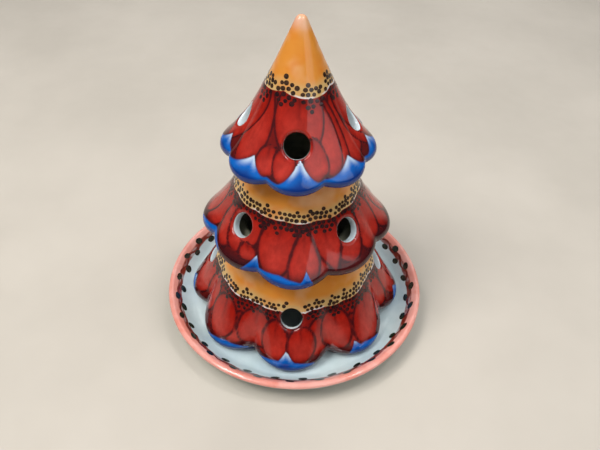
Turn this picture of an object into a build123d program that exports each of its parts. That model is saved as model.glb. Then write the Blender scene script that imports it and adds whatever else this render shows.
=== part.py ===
"""Painted ceramic fir-tree candle lantern.

A hollow three-tier tree shell with scalloped skirts and round light holes
stands over a tea light on a shallow saucer.  Millimetres, +Z up, the front of
the tree faces -Y, and the origin is the middle of the saucer's foot on the table.
Each sub-part is written to parts/NODE.step in its place in the assembly.
"""
import math
import os
from dataclasses import dataclass

from build123d import *

# ---- saucer
SAUCER_RADIUS = 85.0          # outermost radius of the rim
WELL_HEIGHT = 6.0             # flat well the tree and the candle stand on
WELL_RADIUS = 68.0            # the well is flat out to here
RIM_TOP = 15.6                # highest point of the rolled rim
SAUCER_THICKNESS = 3.8
FOOT_RING_OUTER = 54.0
FOOT_RING_INNER = 48.5
FOOT_RING_HEIGHT = 2.2

# ---- tree
LOBES = 8                     # scallops round every skirt
LOBE_SOFTNESS = 0.12          # rounds the valley between two scallops
LOBE_FULLNESS = 0.8           # below 1 the scallops are broad and the valleys narrow
TREE_FOOT = 6.05              # wiped foot of the tree, resting on the well
RING_POINTS = 64              # spline points round each section of a skirt

# ---- light holes: height, radius at the hole, hole diameter, tilt of the axis, bearings
TOP_HOLES = (146.2, 29.6, 13.8, 30.0, (0, 90, 180, 270))
MIDDLE_HOLES = (91.6, 43.0, 13.6, 30.0, (45, 135, 225, 315))
BOTTOM_HOLES = (38.6, 54.1, 13.0, 28.0, (0, 90, 180, 270))
HOLE_REACH = 11.0             # half length of the cutter along the hole's axis

# ---- tea light
CUP_RADIUS = 19.0
CUP_HEIGHT = 16.0
CUP_WALL = 0.4
CUP_LIP_RADIUS = 19.8
CANDLE_BASE = 6.05            # underside of the cup, resting on the well
WAX_TOP = 13.0                # above the underside of the cup
WICK_RADIUS = 0.8
WICK_TOP = 19.0               # above the underside of the cup
SUSTAINER_RADIUS = 7.0
SUSTAINER_THICKNESS = 0.3
SUSTAINER_COLLAR_RADIUS = 1.5
SUSTAINER_COLLAR_HEIGHT = 4.0


@dataclass
class Skirt:
    """One tier of the tree: a cone that kicks out into a scalloped, rolled hem."""

    top: float                # height of the neck
    neck: float               # radius of the neck
    hem: float                # height of the hem at the middle of a scallop
    spread: float             # growth of the radius along the plain cone
    kick: float               # extra growth close to the hem
    kick_power: float         # how late the kick starts
    scallop: float            # how far a valley stays inside a scallop
    scallop_power: float      # how late the scallops start
    droop: float              # how far a valley's hem sits above a scallop's
    diagonal: float           # how much shorter the four diagonal scallops are
    lip: float                # radius of the rolled hem


OUTER_SKIRTS = (
    Skirt(199.2, 3.1, 130.0, 30.6, 8.8, 4.5, 3.8, 4.0, 1.6, 0.0, 4.0),
    Skirt(125.0, 24.9, 75.0, 24.1, 7.6, 3.5, 4.0, 3.5, 2.0, 2.5, 4.5),
    Skirt(67.0, 36.6, 12.9, 32.6, 0.0, 1.0, 8.6, 2.0, 3.6, 0.0, 4.5),
)
INNER_SKIRTS = (
    Skirt(190.0, 2.4, 136.8, 23.6, 4.4, 4.5, 3.4, 4.0, 1.6, 0.0, 3.0),
    Skirt(124.0, 20.4, 82.0, 20.4, 4.0, 3.5, 3.6, 3.5, 2.0, 2.3, 3.0),
    Skirt(66.0, 31.8, 14.0, 31.6, 0.0, 1.0, 8.6, 2.0, 3.6, 0.0, 5.0),
)
TIP_DOME = ((0.6, 201.4), (1.7, 201.0), (2.6, 200.2))   # radius, height of the rounded tip
ROOM_DOME = ((0.5, 191.6), (1.4, 191.2), (2.0, 190.7))  # and of the hollow's rounded top
SKIRT_STEPS = 12              # sections down each skirt
LIP_TURNS = (25, 50, 75, 100, 125, 150)   # degrees of roll at each section of a hem
FOOT_TURNS = (28, 56, 84, 110)            # the bottom hem rolls only as far as the foot
ROOM_TURNS = (22, 44, 66, 88)             # and the hollow curves in behind it
SHELF_SHARES = (0.2, 0.4, 0.6, 0.8)       # sections along the shelf behind a hem
SHELF_RISE = 5.0              # the shelf's pull upward before it turns into the next neck
ROOM_END = -3.0               # the hollow's cutter ends below the foot


def fullness(angle):
    """1 at the middle of a scallop, 0 in the valley between two."""
    wave = math.hypot(math.cos(LOBES * angle / 2), LOBE_SOFTNESS)
    level = (wave - LOBE_SOFTNESS) / (math.hypot(1, LOBE_SOFTNESS) - LOBE_SOFTNESS)
    return level ** LOBE_FULLNESS


def skirt_point(skirt, angle, share):
    """Radius and height of a skirt, share of the way from the neck to the hem."""
    valley = (1 - fullness(angle)) * share ** skirt.scallop_power
    diagonal = (1 - math.cos(4 * angle)) / 2 * share ** skirt.scallop_power
    radius = skirt.neck + skirt.spread * share + skirt.kick * share ** skirt.kick_power
    radius -= skirt.scallop * valley + skirt.diagonal * diagonal
    height = skirt.top + (skirt.hem - skirt.top) * share + skirt.droop * valley
    return radius, height


def lip_point(skirt, angle, degrees):
    """Radius and height on the rolled hem, turned by so many degrees."""
    before = skirt_point(skirt, angle, 0.98)
    end = skirt_point(skirt, angle, 1.0)
    length = math.dist(before, end)
    out, down = (end[0] - before[0]) / length, (end[1] - before[1]) / length
    turn = math.radians(degrees)
    along, inward = skirt.lip * math.sin(turn), skirt.lip * (1 - math.cos(turn))
    return end[0] + along * out + inward * down, end[1] + along * down - inward * out


def shelf_point(skirt, following, angle, share):
    """Radius and height on the shelf that runs from a hem back to the next neck."""
    start = lip_point(skirt, angle, LIP_TURNS[-1])
    end = skirt_point(following, angle, 0)
    bend = (end[0] - 0.5, max(start[1], end[1]) + SHELF_RISE)
    first, middle, last = (1 - share) ** 2, 2 * share * (1 - share), share ** 2
    return tuple(first * a + middle * b + last * c for a, b, c in zip(start, bend, end))


def ring(place):
    """Closed smooth wire through place(angle) -> radius, height."""
    points = []
    for step in range(RING_POINTS):
        angle = math.tau * step / RING_POINTS
        radius, height = place(angle)
        points.append((-radius * math.sin(angle), radius * math.cos(angle), height))
    return Wire([Edge.make_spline(points, periodic=True)])


def skin_places(dome, skirts, last_turns, end_height):
    """The sections of one skin of the tree, from its tip down to end_height."""
    places = [lambda angle, spot=spot: spot for spot in dome]
    for number, skirt in enumerate(skirts):
        following = skirts[number + 1] if number + 1 < len(skirts) else None
        for step in range(SKIRT_STEPS + 1):
            places.append(lambda angle, k=skirt, s=step / SKIRT_STEPS: skirt_point(k, angle, s))
        for turn in LIP_TURNS if following else last_turns:
            places.append(lambda angle, k=skirt, t=turn: lip_point(k, angle, t))
        for share in SHELF_SHARES if following else ():
            places.append(lambda angle, k=skirt, f=following, s=share: shelf_point(k, f, angle, s))
    hem = skirts[-1]
    places.append(lambda angle: (lip_point(hem, angle, last_turns[-1])[0] - 0.4, end_height))
    return places


def skin_solid(dome, skirts, last_turns, end_height):
    """Solid bounded by one skin of the tree."""
    rings = [ring(place) for place in skin_places(dome, skirts, last_turns, end_height)]
    return Solid.make_loft(rings, ruled=True)


def light_hole(height, radius, diameter, tilt, bearing):
    """Cutter of one round light hole, square to the skirt it goes through."""
    turn = math.radians(bearing)
    rise = math.radians(tilt)
    outward = Vector(math.sin(turn) * math.cos(rise), -math.cos(turn) * math.cos(rise), math.sin(rise))
    middle = Vector(radius * math.sin(turn), -radius * math.cos(turn), height)
    plane = Plane(origin=middle - outward * HOLE_REACH, z_dir=outward)
    return Solid.make_cylinder(diameter / 2, 2 * HOLE_REACH, plane)


def tree_shade():
    """Hollow tree: three skirts outside, the hollow inside them, twelve light holes."""
    shell = skin_solid(TIP_DOME, OUTER_SKIRTS, FOOT_TURNS, TREE_FOOT)
    shell -= skin_solid(ROOM_DOME, INNER_SKIRTS, ROOM_TURNS, ROOM_END)
    for height, radius, diameter, tilt, bearings in (TOP_HOLES, MIDDLE_HOLES, BOTTOM_HOLES):
        for bearing in bearings:
            shell -= light_hole(height, radius, diameter, tilt, bearing)
    return shell


def saucer():
    """Shallow round saucer with a rolled rim and a foot ring."""
    with BuildPart() as part:
        with BuildSketch(Plane.XZ):
            with BuildLine():
                floor = Line((0, WELL_HEIGHT), (WELL_RADIUS, WELL_HEIGHT))
                flare = Spline(floor @ 1, (73.0, 7.9), (78.0, 12.0), (81.6, RIM_TOP - 0.5),
                               tangents=[(1, 0), (1, 0.85)])
                roll = Spline(flare @ 1, (83.4, RIM_TOP), (SAUCER_RADIUS, RIM_TOP - 1.6),
                              (84.0, RIM_TOP - 3.3), tangents=[(1, 0.85), (-1, -1)])
                under = Spline(roll @ 1, (80.0, 8.6), (74.5, 4.0), (66.0, FOOT_RING_HEIGHT),
                               tangents=[(-1, -1), (-1, 0)])
                Polyline(under @ 1, (FOOT_RING_OUTER, FOOT_RING_HEIGHT), (FOOT_RING_OUTER - 0.6, 0),
                         (FOOT_RING_INNER + 0.6, 0), (FOOT_RING_INNER, FOOT_RING_HEIGHT),
                         (0, FOOT_RING_HEIGHT), (0, WELL_HEIGHT))
            make_face()
        revolve(axis=Axis.Z)
    return part.part


def tealight_cup():
    """Thin pressed aluminium cup with a small turned-out lip."""
    base = CANDLE_BASE
    top = base + CUP_HEIGHT
    inside = CUP_RADIUS - CUP_WALL
    outline = Polyline((0, base), (CUP_RADIUS - 1, base), (CUP_RADIUS, base + 1),
                       (CUP_RADIUS, top - CUP_WALL), (CUP_LIP_RADIUS, top - CUP_WALL),
                       (CUP_LIP_RADIUS, top), (inside, top), (inside, base + 1 + CUP_WALL / 2),
                       (inside - 1 + CUP_WALL / 2, base + CUP_WALL), (0, base + CUP_WALL), close=True)
    return revolve(make_face(Plane.XZ * outline), Axis.Z)


def sustainer():
    """Small steel disc with a collar that holds the wick upright."""
    base = CANDLE_BASE + CUP_WALL
    disc = Solid.make_cylinder(SUSTAINER_RADIUS, SUSTAINER_THICKNESS, Plane(origin=(0, 0, base)))
    collar = Solid.make_cylinder(SUSTAINER_COLLAR_RADIUS, SUSTAINER_COLLAR_HEIGHT,
                                 Plane(origin=(0, 0, base)))
    bore = Solid.make_cylinder(WICK_RADIUS, SUSTAINER_COLLAR_HEIGHT,
                               Plane(origin=(0, 0, base + SUSTAINER_THICKNESS)))
    return disc + collar - bore


def wick():
    """Round wick standing in the sustainer's collar."""
    foot = CANDLE_BASE + CUP_WALL + SUSTAINER_THICKNESS
    length = CANDLE_BASE + WICK_TOP - foot
    return Solid.make_cylinder(WICK_RADIUS, length, Plane(origin=(0, 0, foot)))


def wax():
    """Wax filling the cup round the sustainer and the wick."""
    floor = CANDLE_BASE + CUP_WALL
    side = CUP_RADIUS - CUP_WALL
    top = CANDLE_BASE + WAX_TOP
    outline = Polyline((0, floor), (side - 1 + CUP_WALL / 2, floor), (side, floor + 1 - CUP_WALL / 2),
                       (side, top), (0, top), close=True)
    block = revolve(make_face(Plane.XZ * outline), Axis.Z)
    collar_room = Solid.make_cylinder(SUSTAINER_COLLAR_RADIUS, SUSTAINER_COLLAR_HEIGHT,
                                      Plane(origin=(0, 0, floor)))
    disc_room = Solid.make_cylinder(SUSTAINER_RADIUS, SUSTAINER_THICKNESS, Plane(origin=(0, 0, floor)))
    wick_room = Solid.make_cylinder(WICK_RADIUS, CUP_HEIGHT, Plane(origin=(0, 0, floor)))
    return block - collar_room - disc_room - wick_room


def write(node, shape):
    """One STEP file per sub-part."""
    export_step(shape, os.path.join("parts", node + ".step"))


os.makedirs("parts", exist_ok=True)
write("saucer", saucer())
write("tree_shade", tree_shade())
write("tealight_cup", tealight_cup())
write("tealight_wax", wax())
write("wick", wick())
write("wick_sustainer", sustainer())
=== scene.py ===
"""Looks of the painted ceramic fir-tree candle lantern.  Metres, same frame as the CAD."""
import math

import bpy
import numpy as np
from mathutils import Matrix, Vector
from mathutils.kdtree import KDTree


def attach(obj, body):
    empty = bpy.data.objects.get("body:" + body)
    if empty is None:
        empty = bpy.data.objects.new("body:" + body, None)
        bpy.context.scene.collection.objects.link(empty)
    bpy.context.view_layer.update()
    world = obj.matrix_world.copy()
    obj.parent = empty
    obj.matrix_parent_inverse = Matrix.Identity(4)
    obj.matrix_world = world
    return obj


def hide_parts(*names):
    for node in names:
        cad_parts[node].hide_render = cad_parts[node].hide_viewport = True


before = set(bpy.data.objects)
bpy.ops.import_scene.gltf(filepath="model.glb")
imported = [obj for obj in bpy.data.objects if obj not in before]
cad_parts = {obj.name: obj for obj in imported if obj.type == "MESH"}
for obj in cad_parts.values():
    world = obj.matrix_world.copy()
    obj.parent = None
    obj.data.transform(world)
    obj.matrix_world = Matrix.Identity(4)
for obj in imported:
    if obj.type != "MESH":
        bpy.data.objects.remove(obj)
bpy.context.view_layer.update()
MM = 0.001

# ---------------------------------------------------------------- shape of the tree, in millimetres
LOBES = 8
SOFT = 0.12       # rounds the bottoms of the valleys between lobes
FULL = 0.8        # below 1 the lobes are fuller and the valleys narrower
# top, neck, hem, spread, kick, kick power, scallop, scallop power, droop, diagonal, lip
OUTER = ((199.2, 3.1, 130.0, 30.6, 8.8, 4.5, 3.8, 4.0, 1.6, 0.0, 4.0),
         (125.0, 24.9, 75.0, 24.1, 7.6, 3.5, 4.0, 3.5, 2.0, 2.5, 4.5),
         (67.0, 36.6, 12.9, 32.6, 0.0, 1.0, 8.6, 2.0, 3.6, 0.0, 4.5))
INNER = ((190.0, 2.4, 136.8, 23.6, 4.4, 4.5, 3.4, 4.0, 1.6, 0.0, 3.0),
         (124.0, 20.4, 82.0, 20.4, 4.0, 3.5, 3.6, 3.5, 2.0, 2.3, 3.0),
         (66.0, 31.8, 14.0, 31.6, 0.0, 1.0, 8.6, 2.0, 3.6, 0.0, 5.0))
TIP_DOME = ((0.05, 201.48), (0.6, 201.4), (1.7, 201.0), (2.6, 200.2))
ROOM_DOME = ((0.05, 191.65), (0.5, 191.6), (1.4, 191.2), (2.0, 190.7))
SHELF_RISE = 5.0
SHELF_INSET = 0.5
LIP_TURN = 150    # degrees that the lip under a hem turns through
FOOT = 6.05       # just above the saucer's well, where the tree and the tea light stand
FOOT_INSET = 0.4
FOOT_SHARE = 1.3  # past the hem, which is at 1
RIM = 2.0         # radius of the rounding at a light hole's edge
CUT = RIM + 0.9   # how far outside a light hole's wall the outer skin is cut
HOLE_REACH = 14   # a light hole cuts only the wall that is this near its middle
OVERLAP = 0.3     # how far a light hole's wall runs past the inner skin
# height, radius, diameter, tilt, unpainted edge except at bearing 0, bearings
HOLES = ((146.2, 29.6, 13.8, 30.0, 0.9, (0, 90, 180, 270)),
         (91.6, 43.0, 13.6, 30.0, 0.5, (45, 135, 225, 315)),
         (38.6, 54.1, 13.0, 28.0, 0.5, (0, 90, 180, 270)))


def smooth(low, high, x):
    """0 up to low, 1 from high on, and a smooth step between them."""
    t = np.clip((x - low) / (high - low), 0, 1)
    return t * t * (3 - 2 * t)


def fullness(angle):
    """1 in the middle of each lobe, 0 in the valleys between lobes."""
    wave = np.hypot(np.cos(LOBES * angle / 2), SOFT)
    return ((wave - SOFT) / (math.hypot(1, SOFT) - SOFT)) ** FULL


def skirt_point(k, angle, share):
    """Radius and height of a skirt; share runs from 0 at its top to 1 at its hem."""
    top, neck, hem, spread, kick, kick_power, scallop, power, droop, diagonal, _ = k
    valley = (1 - fullness(angle)) * share ** power
    radius = neck + spread * share + kick * share ** kick_power
    radius = radius - scallop * valley - diagonal * (1 - np.cos(4 * angle)) / 2 * share ** power
    return radius, top + (hem - top) * share + droop * valley


def lip_point(k, angle, degrees):
    """Radius and height on the round lip under a hem, so many degrees round from the skirt."""
    r0, z0 = skirt_point(k, angle, 0.98)
    r1, z1 = skirt_point(k, angle, 1.0)
    length = np.hypot(r1 - r0, z1 - z0)
    out, down = (r1 - r0) / length, (z1 - z0) / length
    turn = math.radians(degrees)
    along, inward = k[-1] * math.sin(turn), k[-1] * (1 - math.cos(turn))
    return r1 + along * out + inward * down, z1 + along * down - inward * out


def shelf_point(k, following, angle, share):
    """Radius and height on the unseen curve from one skirt's lip up to the top of the next skirt."""
    r0, z0 = lip_point(k, angle, LIP_TURN)
    r2, z2 = skirt_point(following, angle, 0)
    r1, z1 = r2 - SHELF_INSET, np.maximum(z0, z2) + SHELF_RISE
    a, b, c = (1 - share) ** 2, 2 * share * (1 - share), share ** 2
    return a * r0 + b * r1 + c * r2, a * z0 + b * z1 + c * z2


def skin(dome, skirts, steps, turns, shelves, last_turn, end_height, columns):
    """Rows of a skin from the tip down: radius, height, tier number and share, each rows x columns."""
    angle = np.arange(columns) * math.tau / columns - math.pi
    rows = []

    def add(radius, height, tier, share):
        row = (radius, height, tier, share)
        rows.append([np.broadcast_to(np.asarray(value, float), angle.shape) for value in row])

    for radius, height in dome:
        add(radius, height, 0, 0)
    for tier, k in enumerate(skirts):
        for step in range(steps[tier] + 1):
            share = step / steps[tier]
            add(*skirt_point(k, angle, share), tier, share)
        final = tier + 1 == len(skirts)
        end_turn = last_turn if final else LIP_TURN
        for step in range(1, turns + 1):
            degrees = end_turn * step / turns
            extra = k[-1] * math.radians(degrees) / math.hypot(k[0] - k[2], k[3] + k[4])
            add(*lip_point(k, angle, degrees), tier, 1 + extra)
        if final:
            add(rows[-1][0] - FOOT_INSET, end_height, tier, FOOT_SHARE)
        else:
            for step in range(1, shelves):
                add(*shelf_point(k, skirts[tier + 1], angle, step / shelves), tier + 1, 0)
    radius, height, tier, share = (np.array([row[i] for row in rows]) for i in range(4))
    return radius, height, tier, share, np.broadcast_to(angle, radius.shape)


def grid_points(radius, height, angle):
    """Points of a grid wound round Z; angle 0 faces the front, which is -Y."""
    return np.stack([radius * np.sin(angle), -radius * np.cos(angle), height], -1).reshape(-1, 3)


def grid_faces(rows, columns, flip=False):
    """Quads of a grid that closes on itself along its columns.

    They face outward where the rows run down the outside of a shape, and flip turns them round.
    """
    i = np.arange(rows - 1)[:, None] * columns
    j = np.arange(columns)[None]
    k = (j + 1) % columns
    quad = np.stack([i + j, i + k, i + columns + k, i + columns + j], -1).reshape(-1, 4)
    return quad[:, ::-1] if not flip else quad


# ---------------------------------------------------------------- paint
NO_LINE = 9.0                        # mm to the nearest outline where there is none
FAR_BELOW = -20.0                    # mm above an edge, where the edge is far away
BRIM = 3.0                           # mm past the hem, from where the height of the blue is counted
LINE_SPREAD = (1.25, 0.85, 0.95)     # more than 1 draws a tier's outlines thinner
RED = np.array((0.36, 0.012, 0.005))
ROSE = np.array((0.45, 0.032, 0.020))
DEEP = np.array((0.10, 0.004, 0.004))
BLACKISH = np.array((0.016, 0.003, 0.006))

# petals, undermost first: bearing, half width mm, start and end share, swell and taper, lean in degrees
TOP_PETALS = (
    (62, 10.0, 0.42, 0.975, 0.7, 0.4, -5), (88, 12.0, 0.42, 0.97, 0.6, 0.5, 0),
    (-50, 9.5, 0.42, 0.985, 0.8, 0.4, 2), (-84, 14.5, 0.42, 0.965, 0.45, 0.75, 3),
    (39, 7.5, 0.46, 0.975, 0.9, 0.38, 0), (24, 11.0, 0.42, 0.985, 0.9, 0.4, 4),
    (2, 13.0, 0.38, 0.90, 0.5, 0.5, 0), (17, 7.0, 0.72, 1.0, 0.8, 0.38, 0),
    (-26, 6.4, 0.80, 1.005, 0.5, 0.38, 2), (-10, 6.3, 0.78, 1.0, 0.55, 0.38, 0))
MIDDLE_PETALS = (
    (86, 11.0, 0.42, 1.0, 0.6, 0.4, 0), (-78, 11.0, 0.42, 1.0, 0.6, 0.45, 0),
    (-56, 9.0, 0.50, 0.99, 0.6, 0.45, 0), (65, 12.0, 0.42, 1.01, 0.6, 0.4, -4),
    (-42, 12.0, 0.42, 0.93, 0.55, 0.45, 0), (43, 10.5, 0.42, 0.97, 0.55, 0.42, -5),
    (-32, 6.0, 0.80, 0.965, 0.5, 0.4, 3), (-6, 6.0, 0.82, 1.05, 0.6, 0.5, 0),
    (17, 6.5, 0.82, 1.06, 0.6, 0.5, 0), (-12, 11.3, 0.44, 1.06, 0.62, 0.66, -4),
    (25.5, 8.8, 0.45, 1.05, 0.5, 1.0, 4), (7.5, 9.2, 0.44, 1.07, 1.4, 0.42, -2))
BOTTOM_PETALS = (
    (88, 12.0, 0.42, 0.98, 0.6, 0.42, 0), (-80, 11.0, 0.42, 0.98, 0.6, 0.45, 0),
    (67, 10.0, 0.44, 0.985, 0.6, 0.42, 0), (-63, 8.5, 0.44, 0.95, 0.6, 0.45, 0),
    (-34, 8.0, 0.60, 0.985, 0.7, 0.45, 0), (-15, 7.0, 0.60, 0.985, 0.7, 0.45, 0),
    (17, 8.5, 0.55, 0.98, 0.6, 0.45, 0), (39, 8.5, 0.60, 1.0, 0.7, 0.45, 0),
    (-45, 10.8, 0.53, 0.98, 0.5, 0.46, 3), (-23, 11.0, 0.53, 0.975, 0.45, 0.45, 0),
    (28, 9.8, 0.50, 0.985, 0.48, 0.42, -2), (50, 12.3, 0.51, 1.0, 0.5, 0.42, -6),
    (-9, 8.6, 0.54, 0.985, 0.7, 0.42, 1), (6, 8.8, 0.60, 0.985, 0.55, 0.42, 0))
# blue peaks over the petal tips: bearing, how far the peak runs left and right in degrees, height mm
TOP_BLUE = ((-80, 16, 16, 11), (-38, 28, 14, 12.5), (3.5, 17, 15, 15.5), (48, 27, 16, 12.5), (86, 16, 16, 11),
            (130, 18, 18, 12), (175, 18, 18, 13), (-130, 18, 18, 12))
MIDDLE_BLUE = ((-68, 24, 16, 5.8), (-25, 9, 6, 10.0), (-8, 20, 17, 5.2), (8.5, 6, 4, 7.8), (135, 12, 12, 8),
               (180, 12, 12, 9), (-135, 12, 12, 8))
BOTTOM_BLUE = ((-88, 12, 12, 9), (-38, 14, 14, 5.2), (-2, 16, 16, 6.5), (-2, 9, 9, 13), (37, 5, 8, 10),
               (42, 10, 14, 6), (86, 10, 10, 9), (135, 9, 9, 10), (180, 9, 9, 10), (-135, 9, 9, 10))
# petals, blue peaks, plain blue band mm, and how dark the hem is away from the blue
TIERS = ((TOP_PETALS, TOP_BLUE, 2.6, 0.0), (MIDDLE_PETALS, MIDDLE_BLUE, 0.0, 0.85),
         (BOTTOM_PETALS, BOTTOM_BLUE, 0.0, 0.6))
# collars: share where they end, sag mm, number of swags, shift, clusters of dots
COLLARS = ((0.462, 2.2, 4, 19, 8), (0.475, 1.0, 13, 5, 27), (0.462, 1.3, 16, 3, 34))


def wrap(degrees):
    """The same bearing between -180 and 180."""
    return (degrees + 180) % 360 - 180


def collar_edge(tier, angle):
    """Share at which the collar gives way to the petals."""
    share, sag, swags, shift, _ = COLLARS[tier]
    length = math.hypot(OUTER[tier][0] - OUTER[tier][2], OUTER[tier][3])
    wave = np.abs(np.cos(swags * (angle - math.radians(shift)) / 2)) ** 0.8
    return share + (sag * (wave - 0.6) + 0.5 * np.sin(3 * angle + tier)) / length


def lay_petals(petals, length, colour, degrees, share, radius):
    """Lays petals over a colour, undermost first.

    Gives the new colour and how many mm off the nearest outline is. The back repeats the front's petals.
    """
    line = np.full(share.shape, NO_LINE)
    turns = [(bearing + turn, *rest) for turn in (0, 180) for bearing, *rest in petals
             if turn == 0 or abs(bearing) < 88]
    for bearing, half, start, end, swell, taper, lean in turns:
        t = (share - start) / (end - start)
        inside = np.clip(t, 1e-4, 1 - 1e-4)
        across = np.radians(wrap(degrees - bearing - lean * (np.clip(t, 0, 1) - 0.5))) * radius
        peak = swell / (swell + taper)
        width = half * (inside / peak) ** swell * ((1 - inside) / (1 - peak)) ** taper
        slope = width * (swell / inside - taper / (1 - inside)) / ((end - start) * length)
        distance = (np.abs(across) - width) / np.sqrt(1 + np.clip(slope, -6, 6) ** 2)
        beyond = np.maximum(-t, t - 1) * (end - start) * length
        distance = np.where((t < 0) | (t > 1), np.hypot(across, beyond), distance)
        off_axis = np.clip(np.abs(across) / np.maximum(width, 0.5), 0, 1)[:, None]
        down = np.clip(t, 0, 1)[:, None]
        glow = (1 - off_axis ** 2) * smooth(0.2, 0.6, down) * (1 - smooth(0.75, 1.0, down))
        tint = RED + (ROSE - RED) * glow
        close = smooth(2.3, 0.2, -distance)[:, None]
        shade = np.clip(0.4 * close + smooth(0.86, 1.06, down) * 0.5 + 0.45 * smooth(0.22, 0.0, down), 0, 1)
        tint = tint + (DEEP - tint) * shade
        vein = np.exp(-(across / 0.9) ** 2)[:, None] * smooth(0.6, 0.2, down) * 0.55
        tint = tint + (DEEP - tint) * vein
        colour = colour + (tint - colour) * smooth(0.3, -0.3, distance)[:, None]
        line = np.where(distance < 0, -distance, np.minimum(line, distance))
    return colour, line


def blue_level(blues, band, degrees):
    """How many mm above the brim a skirt is blue."""
    level = np.full(degrees.shape, float(band))
    for bearing, left, right, height in blues:
        turn = wrap(degrees - bearing)
        away = np.clip(1 - np.abs(turn) / np.where(turn < 0, left, right), 0, 1)
        peak = height * away ** 0.6 if height < 7 else band + (height - band) * away ** 1.5
        level = np.maximum(level, peak)
    return level


def paint(tier, angle, share, radius):
    """Paint at points of one tier.

    Gives the petals' colour and, in mm, how near an outline is, how far above the collar's edge and how far
    inside the blue tips; then how azure and how white the blue is there.
    """
    k = OUTER[tier]
    length = math.hypot(k[0] - k[2], k[3] + k[4])
    petals, blues, band, darkness = TIERS[tier]
    degrees = np.degrees(angle)
    edge = collar_edge(tier, angle)
    depth = np.clip((share - edge) / (1 - edge), 0, 1)[:, None]
    ground = RED * (1 - depth) * 0.6 + DEEP * (0.4 + 0.6 * depth)
    colour, line = lay_petals(petals, length, ground, degrees, share, radius)
    # dark hem, and a dark seam along the edge of the blue
    hem = (1.0 - share) * length + BRIM
    level = blue_level(blues, band, degrees)
    gap = np.where(level > 0.2, hem - level, -FAR_BELOW)
    dark = darkness * smooth(0.90, 1.03, share) * smooth(-0.6, 0.6, gap) * (0.75 + 0.25 * np.sin(7 * angle))
    colour = colour + (BLACKISH - colour) * dark[:, None]
    colour = colour * (1 - 0.45 * np.exp(-(gap / 1.8) ** 2))[:, None]
    up = np.clip(hem / np.maximum(level, 0.1), 0, 1)
    # shade just under the collar, and no outlines on it
    above = (edge - share) * length
    under = smooth(-7.0, -1.0, above) * (above < 0)
    colour = colour * (1 - 0.35 * under[:, None])
    line = np.where(above > -1.0, NO_LINE, line * LINE_SPREAD[tier])
    # painted shade: the underside of each lip and the outer edge of the foot are darkened towards black
    underside_shade = smooth(1.10, 1.16, share)[:, None]
    colour = colour + (BLACKISH - colour) * underside_shade * 0.6
    return {"paint": colour, "line": line, "collar": above, "tips": -gap,
            "azure": smooth(0.15, 0.6, up), "white": smooth(0.55, 1.0, up) * smooth(5.5, 11, level)}


# ---------------------------------------------------------------- mesh helpers
def build(name, points, faces, body, material, attributes=None):
    """Mesh object from millimetre points and faces, riding on a body."""
    mesh = bpy.data.meshes.new(name)
    mesh.from_pydata((np.asarray(points) * MM).tolist(), [], [list(map(int, f)) for f in faces])
    for key, values in (attributes or {}).items():
        values = np.asarray(values, float)
        if values.ndim == 2:
            layer = mesh.attributes.new(key, "FLOAT_COLOR", "POINT")
            layer.data.foreach_set("color", np.c_[values, np.ones(len(values))].ravel().astype(np.float32))
        else:
            layer = mesh.attributes.new(key, "FLOAT", "POINT")
            layer.data.foreach_set("value", values.astype(np.float32))
    mesh.materials.append(material)
    mesh.polygons.foreach_set("use_smooth", [True] * len(mesh.polygons))
    mesh.update()
    piece = bpy.data.objects.new(name, mesh)
    bpy.context.scene.collection.objects.link(piece)
    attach(piece, body)
    return piece


def vertex_normals(points, faces):
    """Unit normals at the points of a quad mesh."""
    normals = np.zeros_like(points)
    a, b, c, d = (points[faces[:, i]] for i in range(4))
    face_normal = np.cross(c - a, d - b)
    for i in range(4):
        np.add.at(normals, faces[:, i], face_normal)
    return normals / np.maximum(np.linalg.norm(normals, axis=1, keepdims=True), 1e-9)


class Hole:
    """One round light hole: where its axis is and how a surface point lies about it."""

    def __init__(self, height, radius, diameter, tilt, bearing):
        turn, rise = math.radians(bearing), math.radians(tilt)
        level = math.cos(rise)
        self.out = np.array([math.sin(turn) * level, -math.cos(turn) * level, math.sin(rise)])
        self.side = np.array([math.cos(turn), math.sin(turn), 0.0])
        self.up = np.cross(self.out, self.side)
        self.middle = np.array([radius * math.sin(turn), -radius * math.cos(turn), height])
        self.radius = diameter / 2

    def polar(self, points):
        """Distance from the axis, turn about it and place along it."""
        rel = points - self.middle
        x, y, axial = rel @ self.side, rel @ self.up, rel @ self.out
        return np.hypot(x, y), np.arctan2(y, x), axial

    def place(self, distance, turn, axial):
        """The points that lie so; the opposite of polar."""
        flat = np.cos(turn)[:, None] * self.side + np.sin(turn)[:, None] * self.up
        return self.middle + flat * distance[:, None] + self.out * axial[:, None]


def light_holes():
    """Every light hole with the width of its unpainted edge, which the holes at bearing 0 haven't got."""
    for height, radius, diameter, tilt, bare_edge, bearings in HOLES:
        for bearing in bearings:
            yield Hole(height, radius, diameter, tilt, bearing), bare_edge if bearing else 0.0


def pierce(points, faces, hole, margin):
    """Cuts a round patch out of a skin and pulls the cut's edge onto a circle.

    Returns the faces left and, in order round the hole, the edge's points, turns, axial places and leans.
    """
    distance, turn, axial = hole.polar(points)
    limit = hole.radius + margin
    gone = (distance < limit) & (np.abs(axial) < HOLE_REACH)
    touched = gone[faces].any(1)
    rim = np.setdiff1d(np.unique(faces[touched]), np.nonzero(gone)[0])
    normals = vertex_normals(points, faces)
    kept = faces[~touched]
    slope = (hole.place(np.ones(len(rim)), turn[rim], np.zeros(len(rim))) - hole.middle)
    lean = -np.einsum("ij,ij->i", slope, normals[rim]) / (normals[rim] @ hole.out)
    shift = limit - distance[rim]
    points[rim] += slope * shift[:, None] + hole.out * (lean * shift)[:, None]
    order = np.argsort(turn[rim])
    return kept, rim[order], turn[rim][order], axial[rim][order] + (lean * shift)[order], lean[order]


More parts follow.
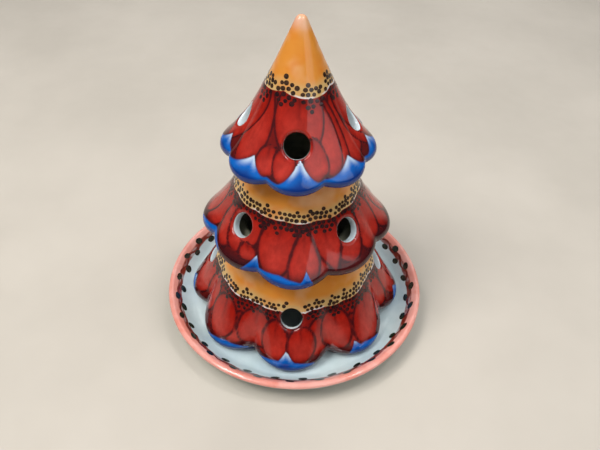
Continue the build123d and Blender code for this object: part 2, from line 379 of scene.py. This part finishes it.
def hole_rings(axial, lean, floor, bare):
    """Rings from the cut inwards over the rounded rim and down the wall of a light hole.

    Each is a distance outside the wall, places along the hole's axis, and whether it is unpainted.
    """
    stops = [(RIM + 0.6, 0.0), (RIM + 0.3, 0.0)]
    stops += [(RIM * (1 - math.sin(a)), RIM * (1 - math.cos(a))) for a in np.radians([0, 16, 30, 44, 60, 75])]
    rings = [(gap, axial + lean * (gap - CUT) - sink, gap < bare) for gap, sink in stops]
    top = axial - lean * CUT - RIM
    return rings + [(0.0, top + (floor - top) * part, True) for part in (0.0, 0.35, 0.7, 1.0)]


def painted_skin(tier, share, angle, radius):
    """Paint at every point of the outer skin."""
    look = plain(len(tier), 0.0)
    for number in range(3):
        mine = tier == number
        for key, values in paint(number, angle[mine], share[mine], radius[mine]).items():
            look[key][mine] = values
    return look


def tree_mesh():
    """Outer skin, inner skin, foot and softened light holes with their paint."""
    columns, inner_columns = 304, 96
    radius, height, tier, share, angle = skin(TIP_DOME, OUTER, steps=(64, 50, 54), turns=12, shelves=7,
                                              last_turn=110, end_height=FOOT, columns=columns)
    rows = len(radius)
    points = grid_points(radius, height, angle)
    faces = grid_faces(rows, columns)
    look = painted_skin(*(value.reshape(-1) for value in (tier, share, angle, radius)))
    in_radius, in_height, _, _, in_angle = skin(ROOM_DOME, INNER, steps=(16, 14, 16), turns=6, shelves=4,
                                                last_turn=88, end_height=FOOT, columns=inner_columns)
    in_points = grid_points(in_radius, in_height, in_angle)
    in_faces = grid_faces(len(in_radius), inner_columns, flip=True)

    nearest = KDTree(len(points))
    for index, point in enumerate(points):
        nearest.insert(Vector(point), index)
    nearest.balance()
    count = len(points) + len(in_points)
    rings, ring_faces, ring_looks = [], [], []
    for hole, bare in light_holes():
        in_faces, _, in_turn, in_axial, _ = pierce(in_points, in_faces, hole, 0.0)
        faces, previous, turn, axial, lean = pierce(points, faces, hole, CUT)
        floor = np.interp(turn, in_turn, in_axial, period=math.tau) - OVERLAP
        n = len(previous)
        after = np.roll(np.arange(n), -1)
        for gap, ring_axial, white in hole_rings(axial, lean, floor, bare):
            ring = hole.place(np.full(n, hole.radius + gap), turn, ring_axial)
            found = [nearest.find(Vector(p))[1] for p in ring]
            rings.append(ring)
            near = {key: values[found] for key, values in look.items()}
            ring_looks.append(plain(n, 1.0) if white else near)
            now = np.arange(count, count + n)
            ring_faces.extend(np.stack([previous, previous[after], now[after], now], -1).tolist())
            previous = now
            count += n
    start = len(points)
    parts = [look, plain(len(in_points), 2.0), *ring_looks]
    attributes = {key: np.concatenate([part[key] for part in parts]) for key in look}
    foot = foot_strip(rows, columns, len(in_radius), inner_columns, start)
    every = [*faces.tolist(), *(in_faces + start).tolist(), *foot, *ring_faces]
    return np.vstack([points, in_points, *rings]), every, attributes


def plain(count, glaze):
    """Attributes of unpainted surface; glaze is 1 on the wall of a light hole and 2 on the inner skin."""
    values = {"line": NO_LINE, "collar": FAR_BELOW, "tips": FAR_BELOW, "azure": 0.0, "white": 0.0,
              "glaze": glaze}
    return {"paint": np.zeros((count, 3)), **{key: np.full(count, value) for key, value in values.items()}}


def foot_strip(rows, columns, in_rows, in_columns, start):
    """Flat wiped foot between the two skins, whose rings differ in their number of points."""
    outer = (rows - 1) * columns
    inner = start + (in_rows - 1) * in_columns
    faces = []
    for i in range(columns):
        a = round(i * in_columns / columns)
        b = round((i + 1) * in_columns / columns)
        corner = [outer + i, outer + (i + 1) % columns, inner + b % in_columns]
        if b != a:
            corner.append(inner + a % in_columns)
        faces.append(corner)
    return faces


def tier_point(tier, angle, share):
    """Point on a skirt's outer surface."""
    radius, height = skirt_point(OUTER[tier], angle, share)
    return np.array([radius * np.sin(angle), -radius * np.cos(angle), height])


def spot(middle, along, across, long_half, short_half, lift, corners=12):
    """Points of one small painted oval lying on a surface."""
    normal = np.cross(along, across)
    turns = np.arange(corners) * math.tau / corners
    rim = middle + np.cos(turns)[:, None] * along * long_half + np.sin(turns)[:, None] * across * short_half
    return np.vstack([middle + normal * 0.02, rim]) + normal * lift


def fans(spots, corners=12):
    """One mesh from many ovals."""
    faces = []
    for number in range(len(spots)):
        base = number * (corners + 1)
        faces += [(base, base + 1 + i, base + 1 + (i + 1) % corners) for i in range(corners)]
    return np.vstack(spots), faces


def dot_spots():
    """Clusters of dabbed dots along the edge of each collar: some on the cream, some over the red."""
    rng = np.random.default_rng(11)
    light, dark = [], []
    wide = (((-4.6, 1.9), (-2.0, 1.7), (0.6, 1.9), (3.2, 1.8), (-3.3, 4.3), (-0.6, 4.3), (2.1, 4.5),
             (4.7, 4.2), (-1.9, 6.8), (0.9, 6.9)),
            ((-3.9, -1.5), (-1.3, -1.4), (1.4, -1.6), (4.0, -1.4), (-2.6, -4.0), (0.1, -4.1), (2.8, -3.9),
             (-1.2, -6.5), (1.5, -6.4)))
    narrow = (((-3.0, 1.6), (-0.5, 1.8), (2.1, 1.5), (-1.8, 4.0), (0.9, 4.1), (3.4, 4.0), (-0.4, 6.3)),
              ((-4.2, -1.4), (-1.5, -1.2), (1.1, -1.3), (3.7, -1.2), (-2.9, -3.8), (-0.2, -3.7), (2.5, -3.9),
               (-1.6, -6.2), (1.2, -6.1)))
    for tier in range(3):
        k = OUTER[tier]
        clusters = COLLARS[tier][4]
        length = math.hypot(k[0] - k[2], k[3])
        size = (1.12, 1.08, 1.06)[tier]
        for number in range(clusters):
            turn = (number + 0.5) * 360 / clusters - 180 + (2, 2, 3)[tier]
            centre = math.radians(turn + rng.uniform(-1.5, 1.5))
            reach = float(skirt_point(k, centre, COLLARS[tier][0])[0])
            above, below = wide if tier == 0 else narrow
            drop = int(rng.integers(0, 2))
            for chosen, keep in ((above[:len(above) - drop], light), (below[:len(below) - drop], dark)):
                for x, y in chosen:
                    x, y = x * size + rng.normal(0, 0.22), y + rng.normal(0, 0.22)
                    angle = centre + x / reach
                    share = float(collar_edge(tier, np.array(angle))) - y / length
                    here = tier_point(tier, angle, share)
                    along = tier_point(tier, angle + 0.01, share) - here
                    down = tier_point(tier, angle, share + 0.01) - here
                    along = along / np.linalg.norm(along)
                    normal = np.cross(along, -down)
                    normal /= np.linalg.norm(normal)
                    across = np.cross(normal, along)
                    r = size * rng.uniform(0.98, 1.26)
                    if clear_of_holes(here):
                        keep.append(spot(here, along, across, r, r * rng.uniform(0.85, 1.0), 0.06))
    return light, dark


def clear_of_holes(point):
    """Whether a dot at this point stays off the rounded rims of the light holes."""
    for hole, _ in light_holes():
        distance, _, axial = hole.polar(point[None])
        if distance[0] < hole.radius + RIM + 0.7 and abs(axial[0]) < 12:
            return False
    return True


def curve_through(points, per_span):
    """Smooth polyline through a few profile points (Catmull-Rom)."""
    p = np.array([points[0], *points, points[-1]], float)
    out = []
    for i in range(1, len(p) - 2):
        t = np.arange(per_span)[:, None] / per_span
        a, b, c, d = p[i - 1:i + 3]
        square, cube = 2 * a - 5 * b + 4 * c - d, 3 * b - a - 3 * c + d
        out.append(0.5 * (2 * b + (c - a) * t + square * t ** 2 + cube * t ** 3))
    return np.vstack(out + [p[-1:]])


def revolved(profile, columns, wobble=None):
    """Points and faces of a profile turned about Z; wobble(radius, height, angle) may shift the radius.

    The faces point out of the section, whichever way round its outline is listed.
    """
    angle = np.arange(columns) * math.tau / columns
    radius, height = np.broadcast_arrays(profile[:, :1], angle[None])[0], profile[:, 1:]
    height = np.broadcast_to(height, radius.shape)
    if wobble:
        radius = wobble(radius, height, angle[None])
    points = grid_points(radius, height, np.broadcast_to(angle, radius.shape))
    after = np.roll(profile, -1, axis=0)
    turn = np.sum(profile[:, 0] * after[:, 1] - after[:, 0] * profile[:, 1])
    return points, grid_faces(len(profile), columns, flip=bool(turn > 0))


# section of the saucer, from the middle of its well over the border and back to the axis underneath
WELL = ((0.05, 6.0), (20, 6.0), (40, 6.0), (52, 6.0), (60, 6.0), (66, 6.0))
BORDER = ((68.0, 6.0), (70.5, 6.6), (73.0, 7.9), (75.6, 9.9), (78.0, 12.0), (79.9, 13.8), (81.6, 15.1),
          (82.5, 15.5), (83.4, 15.6), (84.5, 15.1), (85.0, 14.0), (84.75, 13.0), (84.0, 12.3),
          (82.2, 10.6), (80.0, 8.6), (77.4, 6.2), (74.5, 4.0), (70.6, 2.6), (66.0, 2.2))
UNDERSIDE = ((60, 2.2), (54.8, 2.2), (54.2, 2.0), (53.8, 0.9), (53.4, 0.2), (52.9, 0.0), (49.6, 0.0),
             (49.1, 0.2), (48.8, 0.9), (48.4, 2.0), (47.8, 2.2), (40, 2.2), (20, 2.2), (0.05, 2.2))
PER_SPAN = 4
CREST, EDGE = BORDER.index((83.4, 15.6)), BORDER.index((85.0, 14.0))


def saucer_profile():
    """Closed section of the saucer."""
    return np.vstack([WELL, curve_through(BORDER, PER_SPAN), UNDERSIDE])


def border_row(place):
    """Row of the section that comes after a point of the border."""
    return len(WELL) + PER_SPAN * place + 1


def well_height(radius):
    """Height of the saucer's upper surface."""
    top = saucer_profile()[:border_row(CREST)]
    return float(np.interp(radius, top[:, 0], top[:, 1]))


def saucer_spots():
    """Dark dashes that alternate across the red line of the border, as ovals on the saucer."""
    rng = np.random.default_rng(5)
    spots = []
    total = 56
    for number in range(total):
        angle = math.radians((number + rng.uniform(-0.12, 0.12)) * 360 / total)
        radius = (75.9 if number % 2 else 79.4) + rng.uniform(-0.3, 0.3)
        here, along, across = saucer_frame(angle, radius)
        tilt = rng.uniform(-0.25, 0.25) + (0.22 if number % 2 else -0.22)
        turned = along * math.cos(tilt) + across * math.sin(tilt)
        spots.append(spot(here, turned, np.cross(np.cross(along, across), turned),
                          rng.uniform(2.7, 3.4), rng.uniform(1.8, 2.3), 0.07))
    return spots


def saucer_frame(angle, radius):
    """Point on the saucer's border with unit vectors along it and up its slope."""
    def at(a, r):
        return np.array([r * math.sin(a), -r * math.cos(a), well_height(r)])
    here = at(angle, radius)
    along = at(angle + 0.005, radius) - here
    along /= np.linalg.norm(along)
    outward = at(angle, radius + 0.3) - at(angle, radius - 0.3)
    outward /= np.linalg.norm(outward)
    normal = np.cross(along, outward)
    across = outward if normal[2] > 0 else -outward
    return here, along, across


def border_ribbon(wave, middle, half):
    """Thin wavy painted line running round the saucer's border."""
    steps = 720
    points, faces = [], []
    for i in range(steps):
        angle = math.tau * i / steps
        centre = middle + wave * math.sin(30 * angle) + 0.25 * math.sin(7 * angle)
        width = half * (1 + 0.35 * math.sin(13 * angle + 1) + 0.25 * math.sin(41 * angle))
        for r in (centre - width, centre + width):
            points.append((r * math.sin(angle), -r * math.cos(angle), well_height(r) + 0.05))
        j = (i + 1) % steps
        faces.append((2 * i, 2 * i + 1, 2 * j + 1, 2 * j))
    return np.array(points), faces


# ---------------------------------------------------------------- materials
class Nodes:
    """Short hand for building a node material; a value may be a number, a colour or another node's output."""

    def __init__(self, name, roughness, ior=1.5, **sockets):
        self.material = bpy.data.materials.new(name)
        self.material.use_nodes = True
        self.tree = self.material.node_tree
        self.shader = self.tree.nodes["Principled BSDF"]
        self.shader.inputs["Roughness"].default_value = roughness
        self.shader.inputs["IOR"].default_value = ior
        for key, value in sockets.items():
            self.shader.inputs[key.replace("_", " ")].default_value = value

    def node(self, kind, **settings):
        made = self.tree.nodes.new("ShaderNode" + kind)
        for key, value in settings.items():
            setattr(made, key, value)
        return made

    def link(self, source, target):
        self.tree.links.new(source, target)

    def attribute(self, name, output):
        return self.node("Attribute", attribute_name=name).outputs[output]

    def place(self, scale=(1, 1, 1)):
        """Object coordinates in metres, scaled along each axis."""
        mapping = self.node("Mapping")
        mapping.inputs["Scale"].default_value = scale
        self.link(self.node("TexCoord").outputs["Object"], mapping.inputs["Vector"])
        return mapping.outputs["Vector"]

    def noise(self, scale, detail=3.0, rough=0.55, where=None, distortion=0.0):
        made = self.node("TexNoise")
        made.inputs["Scale"].default_value = scale
        made.inputs["Detail"].default_value = detail
        made.inputs["Roughness"].default_value = rough
        made.inputs["Distortion"].default_value = distortion
        self.link(where or self.place(), made.inputs["Vector"])
        return made.outputs["Fac"]

    def math(self, operation, a, b=0.0):
        made = self.node("Math", operation=operation)
        for socket, value in zip(made.inputs, (a, b)):
            if isinstance(value, (int, float)):
                socket.default_value = value
            else:
                self.link(value, socket)
        return made.outputs[0]

    def ramp(self, value, low, high, out_low=0.0, out_high=1.0):
        """Smooth step of a value between low and high."""
        made = self.node("MapRange", interpolation_type="SMOOTHSTEP")
        self.link(value, made.inputs["Value"])
        for key, number in (("From Min", low), ("From Max", high), ("To Min", out_low), ("To Max", out_high)):
            made.inputs[key].default_value = number
        return made.outputs["Result"]

    def mix(self, factor, a, b, blend="MIX"):
        made = self.node("Mix", data_type="RGBA", blend_type=blend)
        for socket, value in ((made.inputs[0], factor), (made.inputs[6], a), (made.inputs[7], b)):
            if isinstance(value, (int, float)):
                socket.default_value = value
            elif isinstance(value, tuple):
                socket.default_value = (*value, 1)
            else:
                self.link(value, socket)
        return made.outputs[2]

    def finish(self, colour=None, roughness=None, bump=None, strength=0.3, distance=0.0003):
        """Plugs the outputs into the shader and gives the material."""
        if colour is not None:
            self.link(colour, self.shader.inputs["Base Color"])
        if roughness is not None:
            self.link(roughness, self.shader.inputs["Roughness"])
        if bump is not None:
            made = self.node("Bump")
            made.inputs["Strength"].default_value = strength
            made.inputs["Distance"].default_value = distance
            self.link(bump, made.inputs["Height"])
            self.link(made.outputs["Normal"], self.shader.inputs["Normal"])
        return self.material


def with_blue_tips(n, colour, wash, wobble):
    """Blue over the petal tips, fading to white at its peaks."""
    tips, azure, white = (n.attribute(key, "Fac") for key in ("tips", "azure", "white"))
    inside = n.math("ADD", tips, n.math("MULTIPLY", wobble, 0.5))
    blue = n.mix(azure, (0.001, 0.026, 0.18), (0.001, 0.105, 0.44))
    blue = n.mix(0.5, blue, n.mix(n.ramp(wash, 0.3, 0.7), (0.75, 0.75, 0.8), (1.1, 1.15, 1.1)), "MULTIPLY")
    blue = n.mix(n.math("MULTIPLY", white, 0.85), blue, (0.66, 0.78, 0.86))
    seam = n.ramp(n.math("ABSOLUTE", inside), 0.1, 0.9, 0.5, 0.0)
    return n.mix(seam, n.mix(n.ramp(inside, -0.3, 0.3), colour, blue), (0.05, 0.006, 0.03))


def with_collar(n, colour):
    """Amber wash with pale and rusty blotches, paler near its edge, where it ends in a thin white arc."""
    ragged = n.math("MULTIPLY", n.math("SUBTRACT", n.noise(110, 2), 0.5), 1.0)
    rise = n.math("ADD", n.attribute("collar", "Fac"), ragged)
    gold = n.mix(n.ramp(rise, 3.5, 10.0), (0.60, 0.39, 0.15), (0.70, 0.265, 0.038))
    blotch = n.ramp(n.noise(60, 2, 0.5), 0.45, 0.72, 0.0, 0.6)
    gold = n.mix(n.math("MULTIPLY", blotch, n.ramp(rise, 5.0, 12.0, 0.2, 1.0)), gold, (0.78, 0.48, 0.27))
    rust = n.ramp(n.noise(75, 2, 0.5, where=n.place((1, 1, 1.5))), 0.48, 0.75, 0.0, 0.55)
    gold = n.mix(rust, gold, (0.68, 0.18, 0.016))
    arc = n.math("MULTIPLY", n.ramp(rise, 0.7, 1.1, 1.0, 0.0), n.ramp(n.noise(75, 2), 0.42, 0.60, 0.05, 0.9))
    gold = n.mix(arc, gold, (0.70, 0.66, 0.66))
    return n.mix(n.ramp(rise, -0.15, 0.15), colour, gold)


def with_pale_tip(n, colour):
    """The top few millimetres, where the glaze is thin and pinkish."""
    patchy = n.ramp(n.noise(140, 2), 0.3, 0.75, 0.3, 0.9)
    split = n.node("SeparateXYZ")
    n.link(n.node("TexCoord").outputs["Object"], split.inputs[0])
    tip = n.math("MULTIPLY", patchy, n.ramp(split.outputs[2], 0.193, 0.2012))
    return n.mix(tip, colour, (0.80, 0.52, 0.44))


def tree_material():
    """Hand-painted underglaze under a wet-looking clear glaze; bare clay inside, darkened with painted shade.
    """
    n = Nodes("tree_glaze_painted", 0.08, ior=1.5)
    line, glaze = (n.attribute(key, "Fac") for key in ("line", "glaze"))
    wash = n.noise(130, 4, 0.6, distortion=0.6)
    tone = n.mix(n.ramp(wash, 0.3, 0.7), (0.74, 0.62, 0.60), (1.12, 1.05, 1.02))
    colour = n.mix(0.65, n.attribute("paint", "Color"), tone, "MULTIPLY")
    streaks = n.noise(1.0, 4, 0.6, where=n.place((420, 420, 60)))
    brushed = n.mix(n.ramp(streaks, 0.3, 0.75), (0.6, 0.5, 0.5), (1.10, 1.10, 1.08))
    colour = n.mix(0.35, colour, brushed, "MULTIPLY")
    wobble = n.math("MULTIPLY", n.math("SUBTRACT", n.noise(240, 2), 0.5), 1.1)
    stroke = n.ramp(n.math("ADD", line, wobble), 0.2, 1.25, 0.85, 0.0)
    colour = n.mix(stroke, colour, (0.030, 0.003, 0.005))
    colour = with_blue_tips(n, colour, wash, wobble)
    colour = with_collar(n, colour)
    colour = with_pale_tip(n, colour)
    # the attribute glaze is 1 on the wall of a light hole and 2 inside
    wall = n.mix(n.ramp(n.noise(60, 2), 0.3, 0.7), (0.56, 0.66, 0.70), (0.70, 0.76, 0.78))
    colour = n.mix(n.ramp(glaze, 0.5, 0.95), colour, wall)
    inner = n.ramp(glaze, 1.3, 1.7)
    # painted shade: the bare clay inside is coloured a dark olive for the shade in the hollow
    clay = n.mix(n.ramp(n.noise(90, 5), 0.35, 0.7), (0.12, 0.12, 0.075), (0.20, 0.19, 0.13))
    colour = n.mix(inner, colour, clay)
    rough = n.math("ADD", n.ramp(n.noise(120, 3), 0.3, 0.8, 0.05, 0.13), n.math("MULTIPLY", inner, 0.6))
    height = n.math("ADD", n.noise(38, 2), n.math("MULTIPLY", n.noise(150, 2), 0.12))
    height = n.math("ADD", height, n.math("MULTIPLY", stroke, 0.1))
    return n.finish(colour, rough, height, 0.16, 0.0006)


def dot_material(name, dark, light):
    """Dabbed underglaze between two close tones."""
    n = Nodes(name, 0.12, ior=1.52)
    colour = n.mix(n.ramp(n.noise(500, 3), 0.35, 0.65), dark, light)
    return n.finish(colour, n.ramp(n.noise(300, 2), 0.3, 0.7, 0.08, 0.16), n.noise(60, 2), 0.2, 0.0005)


def saucer_material():
    """Pale blue-white glaze, red line and washed coral rim over the top; raw clay on the foot ring."""
    n = Nodes("saucer_glaze_painted", 0.08, ior=1.52)
    split = n.node("SeparateXYZ")
    n.link(n.node("TexCoord").outputs["Object"], split.inputs[0])
    x, y = split.outputs[0], split.outputs[1]
    square = n.math("ADD", n.math("MULTIPLY", x, x), n.math("MULTIPLY", y, y))
    radius = n.math("MULTIPLY", n.math("SQRT", square), 1000.0)
    run = n.attribute("run", "Fac")
    wobble = n.math("MULTIPLY", n.math("SUBTRACT", n.noise(90, 3), 0.5), 1.6)
    edge = n.math("ADD", radius, wobble)
    well = n.mix(n.ramp(n.noise(35, 4, 0.6), 0.3, 0.7), (0.48, 0.60, 0.62), (0.62, 0.72, 0.73))
    wash = n.ramp(n.noise(45, 4, 0.6, distortion=0.8), 0.32, 0.68)
    coral = n.mix(wash, (0.74, 0.25, 0.19), (0.83, 0.40, 0.34))
    top = n.math("SUBTRACT", 1.0, n.ramp(run, 1.0, 1.3))
    colour = n.mix(n.math("MULTIPLY", n.ramp(edge, 78.3, 79.0), top), well, coral)
    ring = n.math("MULTIPLY", n.ramp(edge, 76.5, 77.1), n.math("SUBTRACT", 1.0, n.ramp(edge, 79.0, 79.8)))
    density = n.ramp(n.noise(110, 3), 0.32, 0.6, 0.45, 1.0)
    colour = n.mix(n.math("MULTIPLY", n.math("MULTIPLY", ring, top), density), colour, (0.22, 0.028, 0.014))
    foot = n.math("MULTIPLY", n.ramp(run, 2.5, 2.7), n.math("SUBTRACT", 1.0, n.ramp(run, 3.5, 3.7)))
    raw = n.mix(n.ramp(n.noise(400, 5, 0.7), 0.35, 0.7), (0.46, 0.33, 0.22), (0.62, 0.50, 0.38))
    colour = n.mix(foot, colour, raw)
    rough = n.math("ADD", n.ramp(n.noise(150, 3), 0.3, 0.8, 0.05, 0.12), n.math("MULTIPLY", foot, 0.7))
    return n.finish(colour, rough, n.noise(42, 2), 0.25, 0.0005)


def metal_material(name, colour, roughness):
    """Thin drawn sheet metal."""
    n = Nodes(name, roughness, Metallic=1.0)
    tone = n.mix(n.ramp(n.noise(900, 4, 0.7), 0.3, 0.75), tuple(c * 0.82 for c in colour), colour)
    rough = n.ramp(n.noise(350, 4), 0.3, 0.75, roughness - 0.06, roughness + 0.1)
    return n.finish(tone, rough, n.noise(700, 3), 0.15, 0.0002)


def wax_material():
    """White paraffin, a little translucent."""
    n = Nodes("wax_paraffin", 0.38, ior=1.44, Subsurface_Weight=0.35, Subsurface_Scale=0.004)
    n.shader.inputs["Subsurface Radius"].default_value = (1.0, 0.8, 0.6)
    colour = n.mix(n.ramp(n.noise(160, 4), 0.3, 0.7), (0.80, 0.76, 0.66), (0.90, 0.88, 0.82))
    return n.finish(colour, n.ramp(n.noise(260, 3), 0.3, 0.7, 0.3, 0.48), n.noise(220, 4), 0.3, 0.0004)


def wick_material():
    """Unburnt cotton braid."""
    n = Nodes("wick_cotton_braid", 0.85, Sheen_Weight=0.2)
    colour = n.mix(n.ramp(n.noise(1500, 3), 0.35, 0.65), (0.66, 0.60, 0.48), (0.88, 0.85, 0.76))
    return n.finish(colour, n.ramp(n.noise(900, 2), 0.3, 0.7, 0.75, 0.95), n.noise(2500, 3), 0.6, 0.0002)


def floor_material():
    """Plain pale floor."""
    n = Nodes("pale_floor", 0.6)
    colour = n.mix(n.ramp(n.noise(6, 4), 0.3, 0.7), (0.50, 0.455, 0.39), (0.56, 0.51, 0.44))
    return n.finish(colour, n.ramp(n.noise(40, 3), 0.3, 0.7, 0.5, 0.7))


# ---------------------------------------------------------------- pieces
def make_tree():
    """The painted tree and the dots along its collars."""
    points, faces, attributes = tree_mesh()
    tree = build("tree_body", points, faces, "tree", tree_material(), attributes)
    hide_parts("tree_shade")
    light, dark = dot_spots()
    for name, spots, tones in (("collar_dots", light, ((0.020, 0.012, 0.008), (0.060, 0.028, 0.014))),
                               ("petal_dots", dark, ((0.014, 0.004, 0.005), (0.045, 0.008, 0.008)))):
        dots, triangles = fans(spots)
        build(name, dots, triangles, "tree", dot_material(name + "_paint", *tones))


def make_saucer():
    """The saucer with its dashes and thin red vine.

    The attribute run says where along the section a point lies: up to 1 on top, 2 where the border's back
    ends, 3 on the foot ring and 4 inside it.
    """
    columns = 224
    profile = saucer_profile()
    points, faces = revolved(profile, columns)
    edge, under = border_row(EDGE), border_row(len(BORDER) - 1)
    last = len(profile) - 1
    marks = [0, edge - 1, edge + 4, under, under + 1, under + 2, under + 9, under + 11, last]
    run = np.interp(np.arange(len(profile)), marks, [0, 1, 1.4, 2, 2, 3, 3, 4, 4])
    saucer = build("saucer_dish", points, faces, "saucer", saucer_material(),
                   {"run": np.repeat(run, columns)})
    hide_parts("saucer")
    dashes, triangles = fans(saucer_spots())
    build("border_dashes", dashes, triangles, "saucer",
          dot_material("border_dash_paint", (0.006, 0.010, 0.006), (0.022, 0.032, 0.016)))
    line_points, line_faces = border_ribbon(wave=0.9, middle=78.1, half=0.55)
    build("border_vine", line_points, line_faces, "saucer",
          dot_material("border_vine_paint", (0.10, 0.012, 0.008), (0.22, 0.03, 0.015)))


def make_cup():
    """Drawn cup with fluted sides and a rolled rim."""
    outside = [(0.05, 0), (17.4, 0), (18.2, 0.25), (18.8, 0.9), (19.0, 1.8), (19.0, 5), (19.0, 9), (19.0, 13),
               (19.0, 14.6), (19.1, 15.3), (19.4, 15.55), (19.75, 15.6), (19.8, 15.8), (19.7, 16.0),
               (19.2, 16.0), (18.75, 15.7), (18.6, 15.0), (18.6, 13), (18.6, 9), (18.6, 5), (18.5, 1.6),
               (17.8, 0.5), (0.05, 0.4)]

    def fluted(radius, height, angle):
        up = smooth(FOOT + 1.2, FOOT + 2.6, height) * (1 - smooth(FOOT + 12.6, FOOT + 14.4, height))
        return radius - 0.22 * up * (radius > 18.7) * (0.5 - 0.5 * np.cos(48 * angle))

    points, faces = revolved(np.array(outside) + (0, FOOT), 288, fluted)
    cup = build("candle_cup", points, faces, "tealight",
                metal_material("cup_aluminium", (0.86, 0.87, 0.88), 0.24))
    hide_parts("tealight_cup")


def make_wax():
    """Wax whose top dips a little between the wick and the cup."""
    top = FOOT + 13.0
    section = [(0.85, top - 2.5), (0.85, top - 0.1), (1.0, top - 0.02), (1.5, top - 0.12), (3.0, top - 0.3),
               (7.0, top - 0.38), (12.0, top - 0.3), (16.0, top - 0.18), (17.8, top - 0.05), (18.4, top),
               (18.55, top - 0.1), (18.55, FOOT + 8), (18.5, FOOT + 1.7), (17.7, FOOT + 0.55),
               (7.2, FOOT + 0.45)]
    points, faces = revolved(np.array(section), 96)
    wax = build("candle_wax", points, faces, "tealight", wax_material())
    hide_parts("tealight_wax")


def make_wick():
    """Braided wick with its strands crossing and a narrow end."""
    rows, columns, strands, pitch = 70, 18, 3, 1.15
    heights = np.linspace(FOOT + 0.75, FOOT + 19.0, rows)
    angle = np.arange(columns) * math.tau / columns
    twist = 0.5 - 0.5 * np.cos(strands * (angle[None] + heights[:, None] * pitch))
    cross = 0.5 - 0.5 * np.cos(strands * (angle[None] - heights[:, None] * pitch))
    radius = 0.66 + 0.13 * np.maximum(twist, cross)
    radius[-1] *= 0.05
    radius[-2] *= 0.8
    points = grid_points(radius, np.broadcast_to(heights[:, None], radius.shape),
                         np.broadcast_to(angle, radius.shape))
    wick = build("candle_wick", points, grid_faces(rows, columns, flip=True), "tealight",
                 wick_material())
    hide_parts("wick")


def make_sustainer():
    """The sustainer keeps its CAD shape and gets a metal."""
    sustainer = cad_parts["wick_sustainer"]
    sustainer.data.materials.clear()
    sustainer.data.materials.append(metal_material("sustainer_tinplate", (0.62, 0.62, 0.64), 0.32))


# ---------------------------------------------------------------- stage
def make_floor():
    """Pale floor."""
    mesh = bpy.data.meshes.new("floor")
    size = 3.0
    corners = [(-size, -size, 0), (size, -size, 0), (size, size, 0), (-size, size, 0)]
    mesh.from_pydata(corners, [], [(0, 1, 2, 3)])
    floor = bpy.data.objects.new("floor", mesh)
    bpy.context.scene.collection.objects.link(floor)
    mesh.materials.append(floor_material())


def make_sky():
    """Soft light from above that grows towards the zenith."""
    world = bpy.data.worlds.new("studio")
    world.use_nodes = True
    sky, links = world.node_tree.nodes, world.node_tree.links
    split, ramp = sky.new("ShaderNodeSeparateXYZ"), sky.new("ShaderNodeMapRange")
    links.new(sky.new("ShaderNodeTexCoord").outputs["Generated"], split.inputs[0])
    links.new(split.outputs[2], ramp.inputs["Value"])
    for key, value in (("From Min", 0.05), ("From Max", 0.9), ("To Min", 0.05), ("To Max", 0.42)):
        ramp.inputs[key].default_value = value
    links.new(ramp.outputs["Result"], sky["Background"].inputs["Strength"])
    sky["Background"].inputs["Color"].default_value = (0.93, 0.96, 1.0, 1)
    bpy.context.scene.world = world


def make_lamps():
    """Three soft lamps, and two small ones that glint in the glaze like windows."""
    aim = Vector((0, 0, 0.08))
    # name, place m, size m, watts, colour
    lamps = (("key", (-0.60, -0.35, 1.15), 0.5, 11.0, (1.0, 0.98, 0.95)),
             ("fill", (0.80, -0.55, 1.0), 1.3, 6.2, (0.97, 0.98, 1.0)),
             ("back", (0.2, 1.0, 1.0), 0.9, 3.5, (1.0, 0.99, 0.97)),
             ("window_left", (-0.34, 0.02, 1.0), 0.12, 1.8, (1.0, 1.0, 1.0)),
             ("window_right", (0.38, 0.00, 1.0), 0.12, 1.8, (1.0, 1.0, 1.0)))
    for name, where, size, power, tint in lamps:
        data = bpy.data.lights.new(name, "AREA")
        data.size = size
        data.energy = power
        data.color = tint
        lamp = bpy.data.objects.new(name, data)
        lamp.location = where
        lamp.rotation_mode = "QUATERNION"
        lamp.rotation_quaternion = (aim - Vector(where)).to_track_quat("-Z", "Y")
        bpy.context.scene.collection.objects.link(lamp)


def make_camera():
    """Camera that sees the lantern as the photo does; swing turns it about the lantern's axis."""
    pitch, yaw, roll, swing = (math.radians(v) for v in (42.88, 0.49, 1.795, 1.5))
    ahead = Vector((math.sin(yaw) * math.cos(pitch), math.cos(yaw) * math.cos(pitch), -math.sin(pitch)))
    right = ahead.cross(Vector((0, 0, 1))).normalized()
    up = right.cross(ahead)
    right, up = right * math.cos(roll) + up * math.sin(roll), up * math.cos(roll) - right * math.sin(roll)
    data = bpy.data.cameras.new("camera")
    data.lens = 36.0
    data.sensor_width = 36.0
    data.clip_start = 0.01
    camera = bpy.data.objects.new("camera", data)
    place = Matrix((right, up, -ahead)).transposed().to_4x4()
    place.translation = Vector((0, -0.2759, 0.3216))
    camera.matrix_world = Matrix.Rotation(swing, 4, "Z") @ place
    bpy.context.scene.collection.objects.link(camera)
    bpy.context.scene.camera = camera
    bpy.context.scene.view_settings.view_transform = "Standard"


make_floor()
make_sky()
make_lamps()
make_camera()
make_tree()
make_saucer()
make_cup()
make_wax()
make_wick()
make_sustainer()
